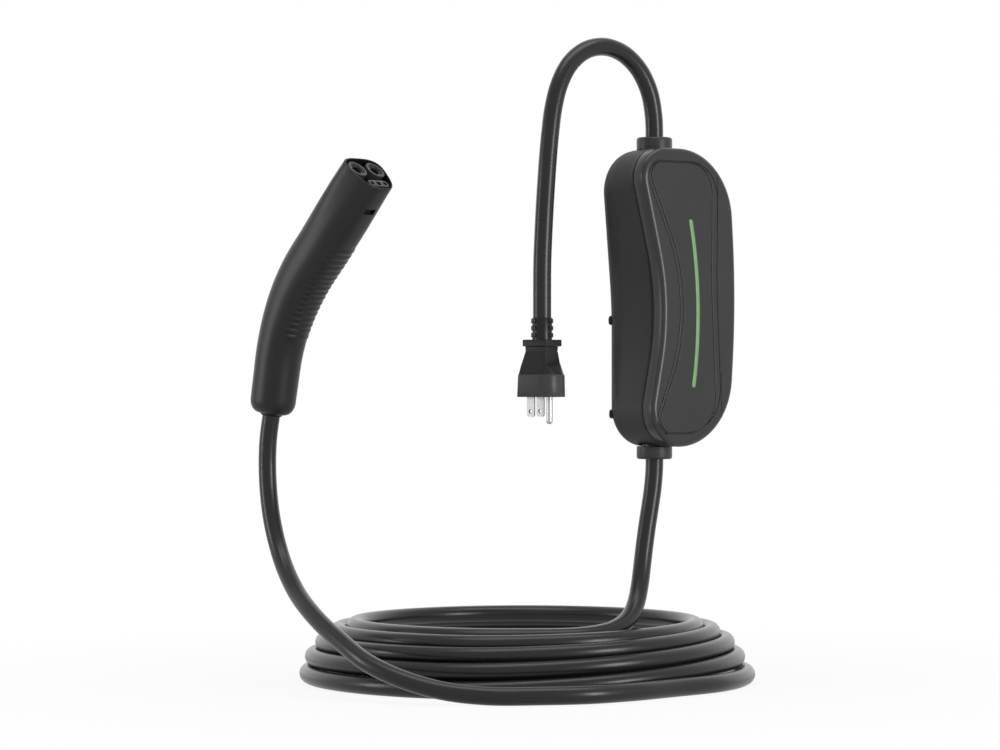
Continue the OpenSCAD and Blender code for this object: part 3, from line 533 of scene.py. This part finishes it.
# gland: collar with rolled edges, a fine step under its crown and a lip round the cable
gland = {"profile": [(7.05, -10.5), (9.5, -10.5), (9.5, 0), (13.2, 0), (13.5, 0.3), (13.5, 7.6), (13.35, 8.4),
                     (12.9, 9.1), (12.2, 9.5), (8.6, 9.5), (8.1, 9.35), (7.4, 8.8), (7.05, 8.2)]}
for name, node, sign in (("topGland", "top_gland", 1), ("bottomGland", "bottom_gland", -1)):
    rings = [r * (1, sign, sign) + box["at"] + (0, 0, sign * box["half"]) for r in turnedRings(gland["profile"])]
    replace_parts(addMesh(name, *ringFaces(rings, loop=True), "gland"), node)

# handle: straight tail, bend and straight head along one axis, superellipse sections, fine ribs inside the bend
handle = {"at": np.array((-172.6, 93.5, 206.0)), "turn": 10, "tilt": 10, "tail": 37, "radius": 158, "bend": 32,
          "head": 85, "faceWide": 18.6, "faceHigh": 18, "wall": 2.2, "bore": 8.05, "tailRound": (10, 7),
          "faceRound": (0.6, 0.5), "nose": 1.6, "ribs": 17, "pitch": 5.3, "ribHigh": 0.5, "ribStart": 62,
          "ribWave": ((0, 0), (0.12, 0.35), (0.28, 0.85), (0.45, 1), (0.62, 0.85), (0.78, 0.35), (0.9, 0)),
          "station": 4, "tailFrom": 14, "tailTo": 60, "headFrom": 1, "headTo": 1.5,
          "mouth": ((0, 0.9), (0.3, 1.2), (3, 1.2), (14, 1.6), (29.5, 1.6), (45, 3.2)),
          "hollowStep": 15, "hollowRings": 6, "hollowWall": 2.6, "tailHollow": (22, 9), "boreEnds": (5, 0),
          "slot": {"half": 5.5, "near": -14.5, "far": -21.5, "from": -24.3, "to": -19.7}}
handle["bendLong"] = handle["radius"] * math.radians(handle["bend"])
full = handle["long"] = handle["tail"] + handle["bendLong"] + handle["head"]
# stations along the handle: half sizes less those of the face, the superellipse's power, and the widening at the back
handle["wide"] = ((0, 60, 115, full - 30, full), (-2.2, -0.8, 0.6, 0.6, 0))
handle["high"] = ((0, 45, 62, 90, 125, full - 45, full - 14, full), (-1.2, -1, -0.4, 0.8, 1.6, 1.2, 0.2, 0))
handle["power"] = ((0, 60, full - 60, full - 20, full), (2.2, 2.2, 2.5, 3, 3))
handle["widen"] = ((0, full - 70, full - 15, full), (0, 0, 0.2, 0.22))
handleTurn = circleTurn(96)
# share of a rib's height: whole near the grip's middle, fading out further round
grip = {"middle": 270, "whole": 44, "fade": 26}
gripShare = np.clip(1 - (np.abs(np.degrees(handleTurn) - grip["middle"]) - grip["whole"]) / grip["fade"], 0, 1)


def handleLean(s):
    return math.radians(handle["tilt"] + handle["bend"] * min(max((s - handle["tail"]) / handle["bendLong"], 0), 1))


def handleAxis(s):
    first, lean = math.radians(handle["tilt"]), handleLean(s)
    y = -min(s, handle["tail"]) * math.sin(first) + handle["radius"] * (math.cos(lean) - math.cos(first))
    z = min(s, handle["tail"]) * math.cos(first) + handle["radius"] * (math.sin(lean) - math.sin(first))
    over = max(s - handle["tail"] - handle["bendLong"], 0)
    return np.array([0, y - over * math.sin(lean), z + over * math.cos(lean)])


# points across the handle, towards its back and along it, at one place on its axis
def fromAxis(s, points):
    lean = handleLean(s)
    x, back, along = np.asarray(points, float).T
    local = handleAxis(s) + np.column_stack([x, back * math.cos(lean) - along * math.sin(lean),
                                             back * math.sin(lean) + along * math.cos(lean)])
    return placed(local, handle["turn"], handle["at"])


# points in the frame of the charging face: Z out of the face, Y towards the handle's back
def fromFace(points):
    return fromAxis(handle["long"], points)


def atHeight(flat, z):
    return fromFace(np.column_stack([flat, np.full(len(flat), z)]))


# value eased between given stations
def eased(s, stations):
    xs, ys = np.array(stations, float)
    i = min(max(np.searchsorted(xs, s) - 1, 0), len(xs) - 2)
    reach = xs[i + 1] - xs[i]
    slopes = np.gradient(ys, xs) * reach
    return cubic((s - xs[i]) / reach, ys[i], ys[i + 1], slopes[i], slopes[i + 1])


# section of the handle: a superellipse that grows squarer and wider at the back towards the face
def handleSection(s, out):
    wide = handle["faceWide"] + eased(s, handle["wide"])
    high = handle["faceHigh"] + eased(s, handle["high"])
    power = 2 / np.interp(s, *handle["power"])
    curl = lambda v: np.sign(v) * np.abs(v) ** power
    back = (high + out) * curl(np.sin(handleTurn))
    widen = 1 + np.interp(s, *handle["widen"]) * back / high
    return np.column_stack([(wide + out) * curl(np.cos(handleTurn)) * widen, back])


def handleRing(s, inset=0.0, rib=0.0):
    section = handleSection(s, rib * gripShare - inset)
    return fromAxis(s, np.column_stack([section, np.zeros(len(section))]))


def boreRing(s):
    return fromAxis(s, turnedRings([(handle["bore"], 0)], len(handleTurn))[0])


# outline of the release key and the island: two half circles joined by straight sides
def capsule(radius, reach):
    turn = circleTurn(48)
    return np.column_stack([radius * np.cos(turn), radius * np.sin(turn) + reach * np.where(np.sin(turn) >= 0, 1, -1)])


# release key: dished cap with a rolled edge above a straight skirt; rows are radius and distance from the axis
key = {"reach": 3.0, "down": 52, "opening": ((5.3, 12), (5.3, 26)),
       "rows": ((6.5, 13.7), (6.5, 15.2), (5, 15.2), (5, 19.4), (4.85, 19.8), (4.5, 20), (3.2, 19.92), (1.6, 19.84))}


def keyRings(rows):
    flats = [(capsule(radius, key["reach"]), y) for radius, y in rows]
    return [fromFace(np.column_stack([flat[:, 0], np.full(len(flat), y), flat[:, 1] - key["down"]]))
            for flat, y in flats]


def buildHandle():
    full, step = handle["long"], handle["station"]
    ribStart, ribEnd = handle["ribStart"], handle["ribStart"] + handle["ribs"] * handle["pitch"]
    long, deep = handle["tailRound"]
    rings = [handleRing(long * across, deep * down) for across, down in quarter(9)]
    rings += [handleRing(s) for s in np.arange(handle["tailFrom"], handle["tailTo"], step)]
    # each rib is a raised half wave with a flat valley after it
    rings += [handleRing(ribStart + (k + u) * handle["pitch"], 0, share * handle["ribHigh"])
              for k in range(handle["ribs"]) for u, share in handle["ribWave"]]
    rings += [handleRing(s) for s in np.arange(ribEnd + handle["headFrom"], full - handle["headTo"], step)]
    long, deep = handle["faceRound"]
    rings += [handleRing(full - long * down, deep * across) for across, down in quarter(5)]
    rings += [handleRing(full - down, inset) for down, inset in handle["mouth"]]
    rings += [handleRing(ribEnd - k * handle["hollowStep"], handle["hollowWall"]) for k in range(handle["hollowRings"])]
    rings += [handleRing(s, handle["wall"]) for s in handle["tailHollow"]] + [boreRing(s) for s in handle["boreEnds"]]
    made = addMesh("handleShell", *ringFaces(rings, loop=True), "handle")
    slot = handle["slot"]
    half, near, far = slot["half"], slot["near"], slot["far"]
    flat = [(-half, far), (half, far), (half, near), (-half, near)]
    rings = [atHeight(flat, slot[end]) for end in ("from", "to")]
    cutOut(made, addMesh("latchCutter", *ringFaces(rings), "handle"))
    cutOut(made, addMesh("keyCutter", *ringFaces(keyRings(key["opening"])), "handle"))
    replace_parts(made, "handle_shell")


# contact carrier: plate across the nose, two turned towers with a stepped rim, and an island with three bores
carrier = {"towers": ((-9.7, 5.6), (9.7, 5.6)), "top": -0.4, "base": -27.5, "plate": 2.5, "plateDown": 21.5,
           "clear": 0.4, "island": (0, -10.8, 6.8, 3.7), "islandEdge": ((0, -0.35), (0.1, -0.1), (0.35, 0)),
           "bores": ((-6.9, 1.82), (0, 2.22), (6.9, 1.82)),
           "rim": [(4.92, -27.4), (4.92, -1.4), (5.05, -1.2), (5.75, -1.1), (5.95, -0.55), (6.2, -0.4), (7.6, -0.4),
                   (7.95, -0.52), (8.1, -0.85), (8.1, -27.4)]}


def islandParts():
    x, y, reach, radius = carrier["island"]
    top, base = carrier["top"], carrier["base"]
    shape = lambda inset: capsule(radius - inset, reach)[:, ::-1] + (x, y)
    rings = [atHeight(shape(0), base)] + [atHeight(shape(inset), top + z) for inset, z in carrier["islandEdge"]]
    parts = [ringFaces(rings, False, False)]
    loops = [shape(carrier["islandEdge"][-1][0])]
    for middle, bore in carrier["bores"]:
        hole = turnedRings([(bore, 0)], 32)[0][:, :2] + (middle, y)
        parts.append(ringFaces([atHeight(hole, base), atHeight(hole, top)], False, False))
        loops.append(hole)
    return parts + [(atHeight(np.concatenate(loops), top), [fillLoops(loops)])]


def buildCarrier():
    base = carrier["base"]
    plate = handleSection(handle["long"] - carrier["plateDown"], -handle["nose"] - carrier["clear"])
    parts = [ringFaces([atHeight(plate, z) for z in (base, base + carrier["plate"])])]
    for x, y in carrier["towers"]:
        parts.append(ringFaces([fromFace(r + (x, y, 0)) for r in turnedRings(carrier["rim"])], loop=True))
    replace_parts(addMesh("contactCarrier", *joinParts(parts + islandParts()), "carrier"), "contact_carrier")


buildHandle()
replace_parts(addMesh("releaseKey", *ringFaces(keyRings(key["rows"])), "button", "button"), "release_button")
buildCarrier()
print("handle built")

# plug: its own frame has the face at height 0, the pins down and the earth side towards +X; rows are height, reach
# to the back, reach ahead, half width and radius, with heights from the face, the shoulder line or the top
plug = {"at": np.array((-66, -97, 218.8)), "turn": -74, "high": 42.2, "block": 16.5,
        "blade": -5.5, "holeDown": 10.5, "holeWide": 2.8, "backRadius": 0.9,
        "face": ((0, 12.9, 16.6, 13, 12), (0.15, 13.3, 17, 13.4, 12.4), (0.6, 13.5, 17.2, 13.6, 12.6)),
        "shoulder": ((-0.8, 12.85, 16.85, 13.25, 12.25), (-0.2, 12.75, 16.6, 13.15, 12.1),
                     (0.3, 12.55, 16, 12.9, 11.7), (7.6, 11.4, 10, 11.1, 2.4), (8.2, 11.2, 9.5, 10.9, 2)),
        "neck": ((-9.4, 9.4, 8.45, 9, 0.9), (-9.1, 9.4, 8.45, 8.9, 0.9), (-8.9, 9.4, 8.45, 8.4, 0.9),
                 (-5.2, 9.55, 8.75, 8.6, 0.9), (-4.9, 10.2, 10.2, 10.2, 0.9), (-4.6, 10.6, 10.6, 10.6, 0.9),
                 (-0.5, 10.6, 10.6, 10.6, 0.9), (-0.1, 10.4, 10.4, 10.4, 0.85), (0, 10, 10, 10, 0.8)),
        "sleeve": ((7.05, -1), (7.35, -1), (7.35, 16), (7.25, 16.2), (7.05, 16.2)),
        "lug": ((6.9, 0), (7.85, 0), (8.15, 0.15), (8.25, 0.5), (8.25, 2.9), (8.15, 3.25), (7.85, 3.4), (6.9, 3.4)),
        "lugUp": 1.6, "lugPitch": 5.2, "lugTurn": 34, "lugHalf": 50}


# plug: block up to its shoulder line is matt and painted paler, a painted sheen for the light its faces catch; the
# smooth neck above is darker
def plugMaterial(name):
    made, shader, place = startMaterial(name, {"Specular IOR Level": 0.25})
    shoulder = (plug["at"][2] + plug["block"]) * mm
    neck = clampTo(axisOf(place, 2), shoulder, shoulder + 0.2 * mm)
    fine = noise(place, scale=260)
    # paler block tones: painted sheen
    block = blendTones(fine, (0.04, 0.04, 0.04), (0.05, 0.05, 0.05))
    smooth = blendTones(fine, (0.005, 0.005, 0.005), (0.008, 0.008, 0.008))
    feed(shader, {"Base Color": blendTones(neck, block, smooth),
                  "Roughness": fine * 0.1 + 0.32 - neck * 0.04,
                  "Normal": bump(noise(place, scale=2000, detail=2, rough=0.6), strength=0.35, distance=0.00004)})
    return made


# blades and pin: drawn nickel, with painted shade inside a round hole whose axis runs level from blade to blade
def bladeMaterial(name):
    made, shader, place = startMaterial(name, {"Metallic": 1.0})
    x, y, z = (axisOf(place, k) for k in range(3))
    heading = np.array([math.cos(math.radians(plug["turn"])), math.sin(math.radians(plug["turn"]))])
    across = x * heading[0] + y * heading[1] - (heading.dot(plug["at"][:2]) + plug["blade"]) * mm
    drop = z - (plug["at"][2] - plug["holeDown"]) * mm
    rim = plug["holeWide"] / 2 * mm
    outside = clampTo(across * across + drop * drop, rim ** 2, (rim + 0.3 * mm) ** 2)
    streak = streaks(place, (1, 1, 0.08))
    metal = blendTones(streak, (0.38, 0.38, 0.38), (0.45, 0.45, 0.447))
    # near black inside the hole: painted shade
    feed(shader, {"Base Color": blendTones(outside, (0.01, 0.01, 0.01), metal),
                  "Roughness": streak * 0.1 + 0.33,
                  "Normal": bump(streak, strength=0.05, distance=0.00001)})
    return made


looks["plug"] = plugMaterial("plugRubber")
looks["blade"] = bladeMaterial("nickelBlade")


def fromPlug(points):
    return placed(points, plug["turn"], plug["at"])


def plugRing(z, back, ahead, half, radius):
    corner = plug["backRadius"]
    corners = [(ahead, -half, radius), (ahead, half, radius), (-back, half, corner), (-back, -half, corner)]
    flat = outline(corners, steps=14)
    return fromPlug(np.column_stack([flat, np.full(len(flat), z)]))


# lug of the relief: a rounded bar swept part of the way round the cord
def lugParts(z, middle):
    r, h = np.transpose(plug["lug"])
    angles = np.radians(middle + np.linspace(-plug["lugHalf"], plug["lugHalf"], 25))
    return ringFaces([fromPlug(np.column_stack([r * math.cos(a), r * math.sin(a), h + z])) for a in angles])


# plug body: D-shaped block, sloped shoulder, square neck, flange, and a sleeve with lugs on two sides
def buildPlug():
    top = plug["high"]
    levels = ((0, plug["face"]), (plug["block"], plug["shoulder"]), (top, plug["neck"]))
    parts = [ringFaces([plugRing(base + z, *sizes) for base, rows in levels for z, *sizes in rows])]
    sleeve = turnedRings([(r, top + z) for r, z in plug["sleeve"]], 48)
    parts.append(ringFaces([fromPlug(r) for r in sleeve], loop=True))
    parts += [lugParts(top + plug["lugUp"] + plug["lugPitch"] * k, plug["lugTurn"] + side)
              for k in range(3) for side in (0, 180)]
    return addMesh("plugBody", *joinParts(parts), "plug")


plugBody = buildPlug()
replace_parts(plugBody, "plug_body")
round(pathLength(supplyPath), 3)
round(pathLength(chargePath), 3)
print("plug built")

# finishes of the nodes that keep their CAD shape
finishes = {
    "rubber": ["cover_seal", "rear_feet", "tail_ring", "carrier_ring"],
    "gland": ["top_locknut", "bottom_locknut"],
    "contact": ["left_power_contact", "right_power_contact", "earth_contact", "pilot_contact", "proximity_contact"],
    "blade": ["line_blade", "neutral_blade", "earth_pin"],
    "steel": ["cover_screws", "board_screws"],
    "board": ["main_board", "light_board", "switch_board"],
    "device": ["relays", "leakage_sensor", "power_supply", "capacitors", "button_switch"],
    "terminal": ["input_terminal", "output_terminal"],
    "wire": ["input_conductors", "output_conductors"],
    "lamp": ["lamps"],
}
for look, names in finishes.items():
    for name in names:
        dress(nodes[name], look)


# rays that show the white studio: straight from the camera, or by way of gloss or glass
def showingRays(tree):
    rays = tree.nodes.new("ShaderNodeLightPath").outputs
    direct, glossy, through = (Wire(tree, rays[f"Is {kind} Ray"]) for kind in ("Camera", "Glossy", "Transmission"))
    return direct + glossy + through


# studio: white to the rays that show it, dim to everything that it lights; the floor's white share grows outwards
studio = {"white": (1, 1, 1, 1), "bright": 1.0, "dim": 0.14, "aim": (0, 0, 0.2),
          "floorHalf": 9, "floorNear": 0.2, "floorFar": 0.6, "floorShare": 0.9}


# floor: pale sheet that takes shadows near the object and fades to plain white further out
def buildFloor():
    half = studio["floorHalf"]
    mesh = bpy.data.meshes.new("floor")
    mesh.from_pydata([(-half, -half, 0), (half, -half, 0), (half, half, 0), (-half, half, 0)], [], [(0, 1, 2, 3)])
    made = bpy.data.objects.new("floor", mesh)
    scene.collection.objects.link(made)
    material, shader, place = startMaterial("paleFloor", {"Roughness": 0.9, "Specular IOR Level": 0.0})
    tree = place.tree
    feed(shader, {"Base Color": blendTones(noise(place, scale=3), (0.93, 0.93, 0.93), (0.95, 0.95, 0.95))})
    reach = place.node("ShaderNodeVectorMath", {"operation": "LENGTH"}, 1, {0: place})
    white = place.node("ShaderNodeEmission", {}, 0, {"Color": studio["white"], "Strength": studio["bright"]})
    least = studio["floorShare"]
    share = showingRays(tree) * (clampTo(reach, studio["floorNear"], studio["floorFar"]) * (1 - least) + least)
    mixed = share.node("ShaderNodeMixShader", {}, 0, {0: share, 1: Wire(tree, shader.outputs[0]), 2: white})
    feed(tree.nodes["Material Output"], {"Surface": mixed})
    mesh.materials.append(material)


def buildWorld():
    world = bpy.data.worlds.new("studio")
    scene.world = world
    world.use_nodes = True
    tree = world.node_tree
    ground = tree.nodes["Background"]
    ground.inputs["Color"].default_value = studio["white"]
    ground.inputs["Strength"].default_value = studio["dim"]
    dim = Wire(tree, ground.outputs[0])
    white = dim.node("ShaderNodeBackground", {}, 0, {"Color": studio["white"], "Strength": studio["bright"]})
    mixed = dim.node("ShaderNodeMixShader", {}, 0, {0: showingRays(tree), 1: dim, 2: white})
    feed(tree.nodes["World Output"], {"Surface": mixed})


# soft box placed by its distances to the right of, above and in front of the object, as the camera sees it
def softBox(name, right, up, near, wide, high, power):
    turn = math.radians(view["turn"])
    across = Vector((math.cos(turn), math.sin(turn), 0))
    ahead = Vector((-math.sin(turn), math.cos(turn), 0))
    data = bpy.data.lights.new(name, "AREA")
    data.shape = "RECTANGLE"
    data.size, data.size_y, data.energy = wide, high, power
    made = bpy.data.objects.new(name, data)
    made.location = across * right - ahead * near + Vector((0, 0, up))
    made.rotation_euler = (Vector(studio["aim"]) - made.location).to_track_quat("-Z", "Y").to_euler()
    scene.collection.objects.link(made)


buildFloor()
buildWorld()
softBox("backdrop", right=0, up=1.1, near=-2.4, wide=8.0, high=2.6, power=30)
softBox("leftStrip", right=-1.6, up=0.3, near=0.3, wide=0.2, high=0.8, power=7)
softBox("rightStrip", right=1.38, up=0.3, near=1.16, wide=0.45, high=0.8, power=18)
softBox("topLight", right=0.1, up=2.0, near=0.3, wide=2.0, high=0.8, power=18)
scene.view_settings.view_transform = "Standard"
print("stage set")
